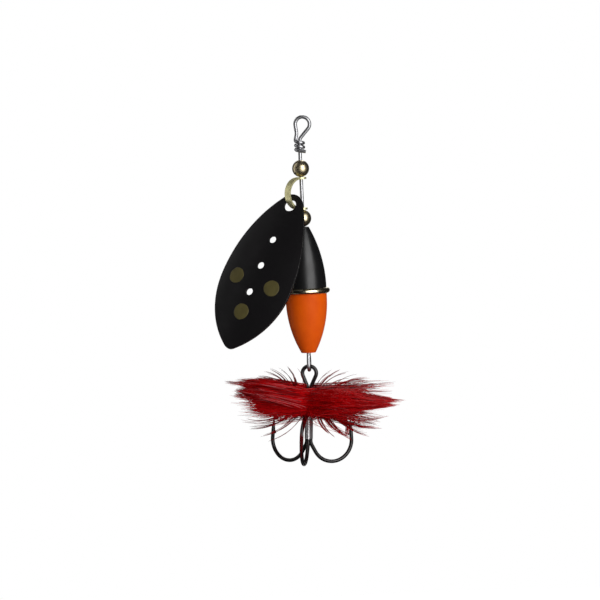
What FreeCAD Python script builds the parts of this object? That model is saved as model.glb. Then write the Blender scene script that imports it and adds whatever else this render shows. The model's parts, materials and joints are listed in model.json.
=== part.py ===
import FreeCAD, Part

# Inline spinner (fishing lure): a bent wire shaft that carries two beads, a clevis with a
# cupped blade, a weighted two-part body and a dressed treble hook.
#
# Millimetres, +Z up. The origin is on the shaft's axis, inside the line eye, and the lure
# hangs below it. -Y is the front.

import math
import os

import Sketcher

from FreeCAD import Placement, Rotation, Vector

DRIVING_SIZES = {
    # shaft wire
    "shaft_wire_radius": 0.425,
    "eye_bend_radius": 1.7,
    "eye_offset": 0.85,
    "eye_height": 0.2,
    "neck_height": -3.3,
    "wrap_start": -3.8,
    "wrap_turn_gap": 0.15,
    "wrap_gap": 0.02,
    "wrap_tag": 1.5,
    "loop_half_width": 1.1,
    "loop_drop": 4.11,
    "loop_leg": 2.2,
    "loop_tag": 7.5,
    # running fits
    "bore_gap": 0.08,
    "stack_gap": 0.1,
    "link_gap": 0.03,
    # beads
    "bead_radius": 2.0,
    "bead_lip": 0.0195,
    # clevis
    "strip_thickness": 0.45,
    "strip_width": 1.7,
    "clevis_bend_radius": 3.6,
    "clevis_throat": 0.8,
    "eyelet_radius": 1.25,
    "clevis_azimuth": 42.0,
    "pivot_angle": 41.8,
    # blade
    "blade_length": 39.77,
    "blade_half_width": 9.5,
    "blade_widest": 23.1,
    "blade_top_radius": 2.98,
    "blade_tip_radius": 1.97,
    "blade_thickness": 0.5,
    "blade_cross_cup": 34.0,
    "blade_long_cup": 108.0,
    "blade_hole_radius": 1.45,
    "blade_hole_place": 2.95,
    "blade_hang": 0.35,
    "vent_radius": 0.86,
    "vent_place": 12.17,
    "vent_pitch": 6.74,
    "blade_azimuth": 17.7,
    "blade_lean": 22.5,
    "blade_roll": 18.5,
    # body
    "nose_top": -23.95,
    "nose_length": 14.4,
    "nose_top_radius": 1.3,
    "body_radius": 4.86,
    "body_wall": 0.8,
    "ring_radius": 5.64,
    "ring_thickness": 1.36,
    "tail_straight": 1.4,
    "tail_length": 13.92,
    "tail_end_radius": 1.68,
    "core_top_depth": 3.2,
    "core_end_height": 3.0,
    # treble hook
    "hook_wire_radius": 0.45,
    "hook_eye_radius": 1.65,
    "hook_eye_neck": 3.1,
    "shank_gap": 0.017987,
    "shank_bend": -75.0,
    "single_shank_top": -64.0,
    "bend_radius": 4.9,
    "bend_reach": 6.0,
    "bend_bottom": -79.5,
    "point_reach": 10.45,
    "point_height": -69.0,
    "point_taper": 3.3,
    "barb_place": 4.4,
    "barb_length": 1.2,
    "barb_rise": 0.42,
    "hook_lean": 3.2,
    "hook_turn": -2.5,
    # dressing
    "sleeve_gap": 0.02,
    "tinsel_wall": 0.1,
    "tinsel_length": 7.1,
    "thread_wall": 0.5,
    "thread_top": -63.2,
    "thread_length": 3.7,
    "skirt_half_width": 17.5,
    "skirt_half_depth": 13.0,
    "skirt_half_height": 3.5,
    "skirt_centre": -64.9,
    "skirt_gap": 0.05,
}

POINT_TIP_RADIUS = 0.06
BARB_HALF_WIDTH = 0.22
NECK_FILLET = 1.5
STRAND_FILLET = 2.0
WRAP_FILLET_SPARE = 0.075
SHANK_FILLET = 2.5
LEG_FILLET = 3.0
WRAP_TURNS = 2 + 60 / 360


class Size:
    """A length, held as its number and as the sheet expression that gives that number."""

    def __init__(self, number, text):
        self.number = float(number)
        self.text = text

    def joined(self, other, sign, number):
        return Size(number, "(%s %s %s)" % (self.text, sign, as_size(other).text))

    def __add__(self, other):
        return self.joined(other, "+", self.number + as_size(other).number)

    def __sub__(self, other):
        return self.joined(other, "-", self.number - as_size(other).number)

    def __mul__(self, other):
        return self.joined(other, "*", self.number * as_size(other).number)

    def __truediv__(self, other):
        return self.joined(other, "/", self.number / as_size(other).number)

    def __neg__(self):
        return Size(-self.number, "(-%s)" % self.text)

    def root(self):
        return Size(math.sqrt(self.number), "sqrt(%s)" % self.text)


def as_size(value):
    return value if isinstance(value, Size) else Size(value, repr(value))


document = FreeCAD.newDocument("inline_spinner")


def make_sheet():
    """The driving sizes as a spreadsheet; returns each one as a Size."""
    sheet = document.addObject("Spreadsheet::Sheet", "sizes")
    for row, (alias, number) in enumerate(DRIVING_SIZES.items(), start=1):
        sheet.set("A%d" % row, alias)
        sheet.set("B%d" % row, str(number))
        sheet.setAlias("B%d" % row, alias)
    document.recompute()
    return {alias: Size(sheet.get(alias), "sizes." + alias) for alias in DRIVING_SIZES}


size = make_sheet()
number = {alias: entry.number for alias, entry in size.items()}


# ---------------------------------------------------------------- document helpers

def bind(feature, **properties):
    """Ties properties of a feature to the sheet."""
    for name, value in properties.items():
        feature.setExpression(name, as_size(value).text)
    return feature


def primitive(kind, name, at=(0, 0, 0), turn=None, **properties):
    feature = document.addObject("Part::" + kind, name)
    feature.Placement = Placement(Vector(*at), turn or Rotation())
    return bind(feature, **properties)


def cylinder(name, radius, height, at=(0, 0, 0), turn=None):
    """A cylinder whose own lower end is at its placement, moved by bound expressions."""
    return primitive("Cylinder", name, at, turn, Radius=radius, Height=height)


def raised(feature, height):
    """Binds the height of a feature's placement to the sheet."""
    feature.setExpression("Placement.Base.z", as_size(height).text)
    return feature


def boolean(kind, name, *operands):
    feature = document.addObject("Part::" + kind, name)
    if kind in ("MultiFuse", "MultiCommon"):
        feature.Shapes = list(operands)
    else:
        feature.Base, feature.Tool = operands
    return feature


def origin_plane(body, role):
    return next(plane for plane in body.Origin.OriginFeatures if plane.Role == role)


def arc_middle(start, end, radius, bulge):
    """The middle of the short arc from start to end that bulges to the right (+1) or left (-1)."""
    chord = end - start
    across = Vector(chord.y, -chord.x, 0).normalize() * bulge
    sagitta = radius - math.sqrt(radius ** 2 - (chord.Length / 2) ** 2)
    return (start + end) * 0.5 + across * sagitta


def outline(body, name, role, corners, arcs):
    """A closed sketch through corners, pairs of Sizes. arcs maps a side's number to its
    (radius, bulge); every other side is straight."""
    sketch = body.newObject("Sketcher::SketchObject", name)
    sketch.AttachmentSupport = [(origin_plane(body, role), "")]
    sketch.MapMode = "FlatFace"
    points = [Vector(as_size(x).number, as_size(y).number, 0) for x, y in corners]
    count = len(points)
    for side in range(count):
        start, end = points[side], points[(side + 1) % count]
        if side in arcs:
            radius, bulge = arcs[side]
            sketch.addGeometry(Part.Arc(start, arc_middle(start, end, radius.number, bulge), end))
        else:
            sketch.addGeometry(Part.LineSegment(start, end))
    # an arc runs anticlockwise, so its first point is the side's end when it bulges left
    first = {side: 2 if side in arcs and arcs[side][1] < 0 else 1 for side in range(count)}
    for side in range(count):
        following = (side + 1) % count
        sketch.addConstraint(Sketcher.Constraint(
            "Coincident", side, 3 - first[side], following, first[following]))
    for side, corner in enumerate(corners):
        for axis, value in zip("XY", corner):
            hold(sketch, side, first[side], axis, as_size(value))
    for side, (radius, bulge) in arcs.items():
        index = sketch.addConstraint(Sketcher.Constraint("Radius", side, radius.number))
        sketch.setExpression("Constraints[%d]" % index, radius.text)
    return sketch


def hold(sketch, side, end, axis, value):
    """Holds one coordinate of a corner; a corner at zero sits on the other axis."""
    if value.number == 0:
        across = {"X": -2, "Y": -1}[axis]
        sketch.addConstraint(Sketcher.Constraint("PointOnObject", side, end, across))
        return
    index = sketch.addConstraint(Sketcher.Constraint(
        "Distance" + axis, -1, 1, side, end, value.number))
    sketch.setExpression("Constraints[%d]" % index, value.text)


def turned(name, corners, arcs, height):
    """A body turned about the shaft from an outline of (radius, height) corners."""
    body = document.addObject("PartDesign::Body", name)
    sketch = outline(body, name + "_outline", "XZ_Plane", corners, arcs)
    turning = body.newObject("PartDesign::Revolution", name + "_turning")
    turning.Profile = sketch
    turning.ReferenceAxis = (sketch, ["V_Axis"])
    turning.Angle = 360
    return raised(body, height)


# ---------------------------------------------------------------- bent wire

def corner_fillet(before, corner, after, radius):
    """Start, middle and end of the arc that rounds a corner of a route."""
    arriving = (corner - before).normalize()
    leaving = (after - corner).normalize()
    half_turn = arriving.getAngle(leaving) / 2
    reach = radius * math.tan(half_turn)
    inward = (leaving - arriving).normalize()
    middle = corner + inward * (radius / math.cos(half_turn) - radius)
    return corner - arriving * reach, middle, corner + leaving * reach


def route_edges(corners):
    """Straight runs joined by tangent arcs; corners are (point, fillet radius) pairs."""
    edges = []
    place = corners[0][0]
    for index in range(1, len(corners) - 1):
        corner, radius = corners[index]
        start, middle, end = corner_fillet(corners[index - 1][0], corner, corners[index + 1][0], radius)
        if place.distanceToPoint(start) > 1e-6:
            edges.append(Part.LineSegment(place, start).toShape())
        edges.append(Part.Arc(start, middle, end).toShape())
        place = end
    edges.append(Part.LineSegment(place, corners[-1][0]).toShape())
    return edges


def disc(centre, direction, radius):
    return Part.Face(Part.Wire(Part.makeCircle(radius, centre, direction)))


def wire_run(edge, radius):
    """One run of round wire: a rod along a straight edge, a bent rod along an arc."""
    start = edge.valueAt(edge.FirstParameter)
    heading = edge.tangentAt(edge.FirstParameter)
    section = disc(start, heading, radius)
    if isinstance(edge.Curve, Part.Line):
        return section.extrude(edge.valueAt(edge.LastParameter) - start)
    circle = edge.Curve
    turn = math.degrees(edge.LastParameter - edge.FirstParameter)
    return section.revolve(circle.Center, circle.Axis, turn)


def wire_along(corners, radius):
    return [wire_run(edge, radius) for edge in route_edges(corners)]


def fused(solids):
    """One solid from runs that meet end to end."""
    whole = solids[0].multiFuse(solids[1:])
    return whole.Solids[0] if len(whole.Solids) == 1 else whole


def feature_of(name, shape):
    """A sub-part whose bent shape no sketch or primitive fits."""
    feature = document.addObject("Part::Feature", name)
    feature.Shape = shape
    feature.Placement = Placement()
    return feature


def tangent_heading(point, centre, radius, side):
    """Unit direction in the XZ plane from a point to the circle's left (-1) or right (+1)."""
    to_centre = centre - point
    spread = math.asin(radius / to_centre.Length)
    angle = math.atan2(to_centre.z, to_centre.x) - side * spread
    return Vector(math.cos(angle), 0, math.sin(angle))


def at_height(point, heading, height):
    """Where a line in the XZ plane from a point reaches a height."""
    return point + heading * ((height - point.z) / heading.z)


# ---------------------------------------------------------------- shaft wire

def wrap_radius():
    return 2 * number["shaft_wire_radius"] + number["wrap_gap"]


def wrap_pitch():
    return 2 * number["shaft_wire_radius"] + number["wrap_turn_gap"]


def wrap_point(angle, height):
    return Vector(wrap_radius() * math.cos(angle), wrap_radius() * math.sin(angle), height)


def wrap_heading(angle):
    slope = wrap_pitch() / (2 * math.pi * wrap_radius())
    return Vector(-math.sin(angle), math.cos(angle), -slope).normalize()


def wrapped_turns(first_angle):
    """The helical turns round the shaft, going down anticlockwise, and their straight tag."""
    radius = number["shaft_wire_radius"]
    drop = WRAP_TURNS * wrap_pitch()
    helix = Part.makeHelix(wrap_pitch(), drop, wrap_radius(), 0, True)
    foot = number["wrap_start"] - drop
    last_angle = first_angle + WRAP_TURNS * 2 * math.pi
    helix.rotate(Vector(), Vector(0, 0, 1), math.degrees(last_angle))
    helix.translate(Vector(0, 0, foot))
    last_point = wrap_point(last_angle, foot)
    heading = wrap_heading(last_angle)
    section = Part.Wire(Part.makeCircle(radius, last_point, heading))
    turns = Part.Wire(helix.Edges).makePipeShell([section], True, True)
    tag = disc(last_point, heading, radius).extrude(heading * number["wrap_tag"])
    return [turns, tag]


def line_eye_route(first_angle):
    """From the wrap's first turn up one side of the eye, over its top and down into the shaft."""
    eye = Vector(number["eye_offset"], 0, number["eye_height"])
    bend = number["eye_bend_radius"]
    top = eye.z + bend
    first_turn = wrap_point(first_angle, number["wrap_start"])
    heading = wrap_heading(first_angle)
    side = first_turn - heading * (first_turn.y / heading.y)
    waist = Vector(-0.35 * bend, 0, number["wrap_start"] + 1.06 * bend)
    left_top = at_height(waist, tangent_heading(waist, eye, bend, -1), top)
    neck = Vector(0, 0, number["neck_height"])
    right_top = at_height(neck, tangent_heading(neck, eye, bend, 1), top)
    wrap_fillet = number["shaft_wire_radius"] + WRAP_FILLET_SPARE
    return [(first_turn, 0), (side, wrap_fillet), (waist, STRAND_FILLET),
            (left_top, bend), (right_top, bend), (neck, NECK_FILLET)]


def tail_loop_route():
    """From the straight shaft, off to one side, round the loop that carries the hook, and back up."""
    strand = number["shaft_wire_radius"] + 0.01
    loop = number["loop_half_width"]
    tail_end = body_end().number
    bottom = tail_end - number["loop_drop"]
    jog = tail_end + number["loop_tag"]
    shoulder = tail_end - 0.4
    hip = tail_end - number["loop_leg"]
    bends = [(0, jog + 1.5), (-strand, jog), (-strand, shoulder), (-loop, hip), (-loop, bottom),
             (loop, bottom), (loop, hip), (strand, shoulder), (strand, jog - 0.6)]
    radii = [STRAND_FILLET] * 4 + [loop, loop] + [STRAND_FILLET] * 2 + [0]
    return [(Vector(0, y, z), radius) for (y, z), radius in zip(bends, radii)]


def make_wire_shaft():
    first_angle = math.radians(210)
    route = line_eye_route(first_angle) + tail_loop_route()
    runs = wire_along(route, number["shaft_wire_radius"]) + wrapped_turns(first_angle)
    return feature_of("wire_shaft", fused(runs))


# ---------------------------------------------------------------- stack on the shaft

def bore_radius():
    return size["shaft_wire_radius"] + size["bore_gap"]


def bead_flat():
    """How far a bead's flat ends stand from its middle: each flat is the bore's rim and a lip."""
    rim = bore_radius() + size["bead_lip"]
    return (size["bead_radius"] * size["bead_radius"] - rim * rim).root()


def lower_bead_height():
    return size["nose_top"] + size["stack_gap"] + bead_flat()


def clevis_half_height():
    return size["clevis_bend_radius"] + size["strip_thickness"] / 2


def clevis_height():
    return lower_bead_height() + bead_flat() + size["stack_gap"] + clevis_half_height()


def upper_bead_height():
    return clevis_height() + clevis_half_height() + size["stack_gap"] + bead_flat()


def make_bead(name, height):
    """A round bead with a flat round each end of its bore."""
    radius, bore, flat = size["bead_radius"], bore_radius(), bead_flat()
    rim = bore + size["bead_lip"]
    corners = [(bore, 0), (rim, 0), (rim, flat * 2), (bore, flat * 2)]
    return turned(name, corners, {1: (radius, 1)}, height - flat)


def make_clevis():
    """A strip bent into a C, with a round eyelet at each end for the shaft."""
    bend, half = size["clevis_bend_radius"], size["strip_thickness"] / 2
    throat, width, eyelet = size["clevis_throat"], size["strip_width"], size["eyelet_radius"]
    across = Rotation(Vector(1, 0, 0), -90)
    breadth = eyelet * 2
    outer = cylinder("clevis_outer_bend", bend + half, breadth, turn=across)
    inner = cylinder("clevis_inner_bend", bend - half, breadth, turn=across)
    for round_side in (outer, inner):
        bind(round_side, **{"Placement.Base.x": throat, "Placement.Base.y": -eyelet})
    ring = boolean("Cut", "clevis_ring", outer, inner)
    front = primitive("Box", "clevis_front", Length=bend * 2, Width=breadth, Height=bend * 2 + 2)
    bind(front, **{"Placement.Base.x": throat, "Placement.Base.y": -eyelet,
                   "Placement.Base.z": -bend - 1})
    bow = boolean("MultiCommon", "clevis_bow", ring, front)
    leaves = []
    for name, level in (("clevis_lower_leaf", -bend - half), ("clevis_upper_leaf", bend - half)):
        leaf = primitive("Box", name, Length=eyelet + throat, Width=breadth, Height=half * 2)
        bind(leaf, **{"Placement.Base.x": -eyelet, "Placement.Base.y": -eyelet,
                      "Placement.Base.z": level})
        leaves.append(leaf)
    strip = boolean("MultiFuse", "clevis_strip", bow, *leaves)
    ends = cylinder("clevis_eyelet_plan", eyelet, bend * 2 + 2)
    bar = primitive("Box", "clevis_bar_plan", Length=throat + bend + 1, Width=width,
                    Height=bend * 2 + 2)
    bind(bar, **{"Placement.Base.y": -width / 2})
    for plan_piece in (ends, bar):
        raised(plan_piece, -bend - 1)
    plan = boolean("MultiFuse", "clevis_plan", ends, bar)
    blank = boolean("MultiCommon", "clevis_blank", strip, plan)
    bore = raised(cylinder("clevis_bore", bore_radius(), bend * 2 + 2), -bend - 1)
    clevis = boolean("Cut", "clevis", blank, bore)
    clevis.Placement = Placement(Vector(), Rotation(Vector(0, 0, 1), clevis_turn()))
    return raised(clevis, clevis_height())


def clevis_turn():
    """Degrees about +Z from +X to the clevis, which stands left of the front."""
    return -90 - number["clevis_azimuth"]


# ---------------------------------------------------------------- blade

def pivot():
    """Where the strip passes through the blade's hole."""
    down = math.radians(number["pivot_angle"])
    reach = number["clevis_throat"] + number["clevis_bend_radius"] * math.cos(down)
    drop = number["clevis_bend_radius"] * math.sin(down)
    turn = math.radians(clevis_turn())
    return Vector(reach * math.cos(turn), reach * math.sin(turn), clevis_height().number - drop)


def blade_placement():
    """Blade axes: X across it, Y up its length, Z out of its face."""
    azimuth, lean = math.radians(number["blade_azimuth"]), math.radians(number["blade_lean"])
    level = Vector(-math.sin(azimuth), -math.cos(azimuth), 0)
    face = level * math.cos(lean) + Vector(0, 0, math.sin(lean))
    upward = Vector(0, 0, math.cos(lean)) - level * math.sin(lean)
    upward = Rotation(face, -number["blade_roll"]).multVec(upward)
    return Placement(pivot(), Rotation(upward.cross(face), upward, face, "ZYX"))


def tangent_arc_radius(width, rise, end_radius):
    """Radius of the flank that is square to the axis at its widest and meets an end circle."""
    squares = width * width + rise * rise - end_radius * end_radius
    return squares / ((width - end_radius) * 2)


def flank_end(width, flank, rise, end_radius):
    """Where the flank meets the end circle: its distance off the axis, and beyond the centre."""
    scale = end_radius / (flank - end_radius)
    return (flank - width) * scale, rise * scale


def blade_outline(body):
    """A pear shape of six arcs, with Y measured up from the tip."""
    length, width = size["blade_length"], size["blade_half_width"]
    top, tip = size["blade_top_radius"], size["blade_tip_radius"]
    widest = length - size["blade_widest"]
    upper_rise = size["blade_widest"] - top
    lower_rise = widest - tip
    upper_flank = tangent_arc_radius(width, upper_rise, top)
    lower_flank = tangent_arc_radius(width, lower_rise, tip)
    top_off, top_beyond = flank_end(width, upper_flank, upper_rise, top)
    tip_off, tip_beyond = flank_end(width, lower_flank, lower_rise, tip)
    top_y = length - top + top_beyond
    tip_y = tip - tip_beyond
    corners = [(0, 0), (tip_off, tip_y), (width, widest), (top_off, top_y), (0, length),
               (-top_off, top_y), (-width, widest), (-tip_off, tip_y)]
    radii = [tip, lower_flank, upper_flank, top, top, upper_flank, lower_flank, tip]
    arcs = {side: (radius, 1) for side, radius in enumerate(radii)}
    return outline(body, "blade_outline", "XY_Plane", corners, arcs)


def cup_solid(name, offset, crown_y, crown_z):
    """A ring whose outer surface is the blade's cupped surface, moved out by an offset."""
    cross, long = size["blade_cross_cup"], size["blade_long_cup"]
    ring = primitive("Torus", name, turn=Rotation(Vector(0, 1, 0), 90), Radius1=long - cross,
                     Radius2=cross + offset)
    return bind(ring, **{"Placement.Base.y": crown_y, "Placement.Base.z": crown_z - long})


def blade_hole(name, radius, place):
    """A hole through the blade at a distance from its top end."""
    hole = primitive("Cylinder", name, Radius=radius, Height=12)
    return bind(hole, **{"Placement.Base.y": from_top(place), "Placement.Base.z": -6})


def from_top(place):
    """Y in the blade's axes of a distance from its top end."""
    return size["blade_hole_place"] - size["blade_hang"] - place


def make_blade():
    """A cupped sheet: the layer between two rings, inside the outline, with its holes."""
    half = size["blade_thickness"] / 2
    hole_place, long = size["blade_hole_place"], size["blade_long_cup"]
    to_crown = size["blade_length"] / 2 - hole_place
    crown_z = long - (long * long - to_crown * to_crown).root()
    crown_y = from_top(size["blade_length"] / 2)
    layer = boolean("Cut", "blade_layer", cup_solid("blade_face", half, crown_y, crown_z),
                    cup_solid("blade_back", -half, crown_y, crown_z))
    body = document.addObject("PartDesign::Body", "blade_blank")
    sketch = blade_outline(body)
    pad = body.newObject("PartDesign::Pad", "blade_blank_pad")
    pad.Profile = sketch
    pad.Length = 14
    pad.Midplane = True
    bind(body, **{"Placement.Base.y": from_top(size["blade_length"])})
    sheet = boolean("MultiCommon", "blade_sheet", layer, body)
    holes = [blade_hole("blade_shaft_hole", size["blade_hole_radius"], hole_place)]
    for index in range(3):
        place = size["vent_place"] + size["vent_pitch"] * index
        holes.append(blade_hole("blade_vent_%d" % (index + 1), size["vent_radius"], place))
    blade = boolean("Cut", "blade", sheet, boolean("MultiFuse", "blade_holes", *holes))
    blade.Placement = blade_placement()
    return blade


# ---------------------------------------------------------------- weighted body

def ring_top():
    return size["nose_top"] - size["nose_length"]


def body_end():
    return ring_top() - size["ring_thickness"] - size["tail_length"]


def ogive_radius(drop, rise):
    """Radius of the arc that is square to the axis at its widest and draws in by a drop."""
    return (rise * rise + drop * drop) / (drop * 2)


def ogive_at(widest, arc, rise):
    """Radius of the profile at a distance from its widest."""
    return widest - arc + (arc * arc - rise * rise).root()


def nose_arc():
    return ogive_radius(size["body_radius"] - size["nose_top_radius"], size["nose_length"])


def tail_arc():
    rise = size["tail_length"] - size["tail_straight"]
    return ogive_radius(size["body_radius"] - size["tail_end_radius"], rise)


def strand_bore_radius():
    """Bore that clears the two strands of the wire side by side."""
    return size["shaft_wire_radius"] * 2 + size["bore_gap"] + 0.01


def make_nose_shell():
    """The front cover, an ogive with a hollow of the same centre for the weight."""
    length, wall, arc = size["nose_length"], size["body_wall"], nose_arc()
    seat = size["body_radius"] - wall
    core_rise = length - size["core_top_depth"]
    core_top = ogive_at(seat, arc - wall, core_rise)
    corners = [(seat, 0), (size["body_radius"], 0), (size["nose_top_radius"], length),
               (bore_radius(), length), (bore_radius(), core_rise), (core_top, core_rise)]
    arcs = {1: (arc, 1), 5: (arc - wall, -1)}
    return turned("nose_shell", corners, arcs, ring_top())


def make_tail_shell():
    """The rear cover, drawn in to the wire loop, hollow for the weight."""
    length, wall, arc = size["tail_length"], size["body_wall"], tail_arc()
    straight = size["tail_straight"]
    seat = size["body_radius"] - wall
    core_rise = length - straight - size["core_end_height"]
    core_end = ogive_at(seat, arc - wall, core_rise)
    shoulder, floor = length - straight, size["core_end_height"]
    corners = [(strand_bore_radius(), 0), (size["tail_end_radius"], 0),
               (size["body_radius"], shoulder), (size["body_radius"], length), (seat, length),
               (seat, shoulder), (core_end, floor), (strand_bore_radius(), floor)]
    arcs = {1: (arc, 1), 5: (arc - wall, -1)}
    return turned("tail_shell", corners, arcs, body_end())


def make_collar_ring():
    """The ring between the two covers, with a fully rounded rim."""
    thickness, rim = size["ring_thickness"], size["ring_radius"] - size["ring_thickness"] / 2
    seat = size["body_radius"] - size["body_wall"]
    corners = [(seat, 0), (rim, 0), (rim + thickness / 2, thickness / 2), (rim, thickness),
               (seat, thickness)]
    arcs = {1: (thickness / 2, 1), 2: (thickness / 2, 1)}
    return turned("collar_ring", corners, arcs, ring_top() - thickness)


def make_weight_core():
    """The turned weight inside the covers, with a wide bore below for the doubled wire."""
    wall = size["body_wall"]
    seat = size["body_radius"] - wall
    tail_rise = size["tail_length"] - size["tail_straight"] - size["core_end_height"]
    nose_rise = size["nose_length"] - size["core_top_depth"]
    tail_end = ogive_at(seat, tail_arc() - wall, tail_rise)
    nose_end = ogive_at(seat, nose_arc() - wall, nose_rise)
    waist_low = tail_rise
    waist_top = tail_rise + size["tail_straight"] + size["ring_thickness"]
    top = waist_top + nose_rise
    step = size["loop_tag"] + 2.6 - size["core_end_height"]
    corners = [(strand_bore_radius(), 0), (tail_end, 0), (seat, waist_low), (seat, waist_top),
               (nose_end, top), (bore_radius(), top), (bore_radius(), step),
               (strand_bore_radius(), step)]
    arcs = {1: (tail_arc() - wall, 1), 3: (nose_arc() - wall, 1)}
    return turned("weight_core", corners, arcs, body_end() + size["core_end_height"])


# ---------------------------------------------------------------- treble hook

def hook_eye_centre():
    """The eye hangs on the wire loop with a running gap."""
    radii = size["hook_eye_radius"] - size["hook_wire_radius"] - size["shaft_wire_radius"]
    return body_end() - size["loop_drop"] - (radii - size["link_gap"])


def shank_spread():
    """How far the three shanks stand off the axis, side by side with a gap between each two."""
    return (size["hook_wire_radius"] * 2 + size["shank_gap"]) / math.sqrt(3)


def arm_route(azimuth, shank_top):
    """One arm from its shank, round the bend and up to the start of its point."""
    outward = Vector(math.cos(azimuth), math.sin(azimuth), 0)
    bend = Vector(number["bend_reach"], 0, number["bend_bottom"] + number["bend_radius"])
    shank = Vector(shank_spread().number, 0, number["shank_bend"])
    tip = Vector(number["point_reach"], 0, number["point_height"])
    inner = at_height(shank, tangent_heading(shank, bend, number["bend_radius"], 1),
                      number["bend_bottom"])
    rising = tangent_heading(tip, bend, number["bend_radius"], -1)
    outer = at_height(tip, rising, number["bend_bottom"])
    taper = tip + rising * number["point_taper"]
    flat = [(Vector(shank.x, 0, shank_top), 0), (shank, SHANK_FILLET), (inner, bend_fillet()),
            (outer, bend_fillet()), (taper, 0)]
    placed = [(outward * point.x + Vector(0, 0, point.z), radius) for point, radius in flat]
    point_heading = outward * -rising.x + Vector(0, 0, -rising.z)
    return placed, point_heading, outward


def bend_fillet():
    return number["bend_radius"]


def hook_point(base, heading, outward):
    """The tapered point and the barb on its inner side."""
    radius = number["hook_wire_radius"]
    cone = Part.makeCone(radius, POINT_TIP_RADIUS, number["point_taper"], base, heading)
    tip = base + heading * number["point_taper"]
    root = tip - heading * number["barb_place"]
    inward = -outward
    side = heading.cross(inward).normalize() * BARB_HALF_WIDTH
    foot = root + inward * (radius * 0.5)
    peak = root + inward * (radius + number["barb_rise"])
    end = root + heading * number["barb_length"] + inward * (radius * 0.5)
    face = Part.Face(Part.makePolygon([foot - side, peak - side, end - side, foot - side]))
    return [cone, face.extrude(side * 2)]


def hook_arm(azimuth, shank_top):
    route, heading, outward = arm_route(azimuth, shank_top)
    return route, hook_point(route[-1][0], heading, outward)


def make_double_hook():
    """Two arms and the eye, bent from one wire."""
    radius, bend = number["hook_wire_radius"], number["hook_eye_radius"]
    spread = shank_spread().number
    eye = Vector(0, 0, hook_eye_centre().number)
    neck_z = eye.z - number["hook_eye_neck"]
    right_route, right_point = hook_arm(math.radians(30), neck_z)
    left_route, left_point = hook_arm(math.radians(150), neck_z)
    half = spread * math.cos(math.radians(30))
    back = spread * math.sin(math.radians(30))
    necks, tops = [], []
    for side in (1, -1):
        neck = Vector(side * half, 0, neck_z)
        tops.append(at_height(neck, tangent_heading(neck, eye, bend, side), eye.z + bend))
        necks.append([(neck, STRAND_FILLET), (Vector(side * half, back, neck_z - 2), LEG_FILLET)])
    right_legs, left_legs = necks
    route = (list(reversed(right_route[1:])) + list(reversed(right_legs))
             + [(tops[0], bend), (tops[1], bend)] + left_legs + left_route[1:])
    runs = wire_along(route, radius) + right_point + left_point
    return feature_of("treble_double_hook", fused(runs))


def make_single_hook():
    """The third arm, brazed in front of the other two shanks."""
    route, point = hook_arm(math.radians(270), number["single_shank_top"])
    return feature_of("treble_single_hook", fused(wire_along(route, number["hook_wire_radius"]) + point))


# ---------------------------------------------------------------- dressing on the hook

def shank_cluster_radius():
    return shank_spread() + size["hook_wire_radius"] + size["sleeve_gap"]


def make_sleeve(name, wall, length, top):
    """A tube round the three shanks, measured down from its top."""
    outer = raised(cylinder(name + "_outside", shank_cluster_radius() + wall, length), top - length)
    inner = raised(cylinder(name + "_inside", shank_cluster_radius(), length), top - length)
    return boolean("Cut", name, outer, inner)


def make_hair_skirt():
    """The space that the tied hair fills: a flattened oval disc round the binding."""
    height, centre = size["skirt_half_height"], size["skirt_centre"]
    disc_shape = primitive("Ellipsoid", "skirt_mass", Radius1=height,
                           Radius2=size["skirt_half_width"], Radius3=size["skirt_half_depth"])
    opening = shank_cluster_radius() + size["thread_wall"] + size["skirt_gap"]
    core = cylinder("skirt_opening", opening, height * 2 + 2)
    return boolean("Cut", "hair_skirt", raised(disc_shape, centre), raised(core, centre - height - 1))


# ---------------------------------------------------------------- the assembly

def hang_treble(treble_parts):
    """Turns the treble about its own shank and swings it to one side in the wire loop."""
    loop_bottom = Vector(0, 0, (body_end() - size["loop_drop"]).number)
    turn = Placement(Vector(), Rotation(Vector(0, 0, 1), number["hook_turn"]))
    lean = Placement(Vector(), Rotation(Vector(0, 1, 0), number["hook_lean"]), loop_bottom)
    for part in treble_parts:
        part.Placement = lean * turn
    return treble_parts


def make_parts():
    thread_end = size["thread_top"] - size["thread_length"]
    return [
        make_wire_shaft(),
        make_bead("upper_bead", upper_bead_height()),
        make_clevis(),
        make_blade(),
        make_bead("lower_bead", lower_bead_height()),
        make_nose_shell(),
        make_collar_ring(),
        make_tail_shell(),
        make_weight_core(),
    ] + hang_treble([
        make_double_hook(),
        make_single_hook(),
        make_sleeve("binding_thread", size["thread_wall"], size["thread_length"], size["thread_top"]),
        make_sleeve("shank_wrap", size["tinsel_wall"], size["tinsel_length"], thread_end),
        make_hair_skirt(),
    ])


def check_document():
    for entry in document.Objects:
        if {"Invalid", "Error"} & set(entry.State):
            raise RuntimeError("failed: " + entry.Name)


def check_part(part):
    if part.Shape.isNull() or not part.Shape.isValid() or not part.Shape.Solids:
        raise RuntimeError("not a valid solid: " + part.Label)


def main():
    parts = make_parts()
    document.recompute()
    check_document()
    for part in parts:
        check_part(part)
    os.makedirs("parts", exist_ok=True)
    for part in parts:
        part.Shape.exportStep("parts/%s.step" % part.Label)
        print("%-20s %d solid(s) %9.2f mm3" % (part.Label, len(part.Shape.Solids), part.Shape.Volume))


main()
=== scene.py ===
import json
import math

import bpy
import numpy as np
from mathutils import Matrix, Vector


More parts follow.
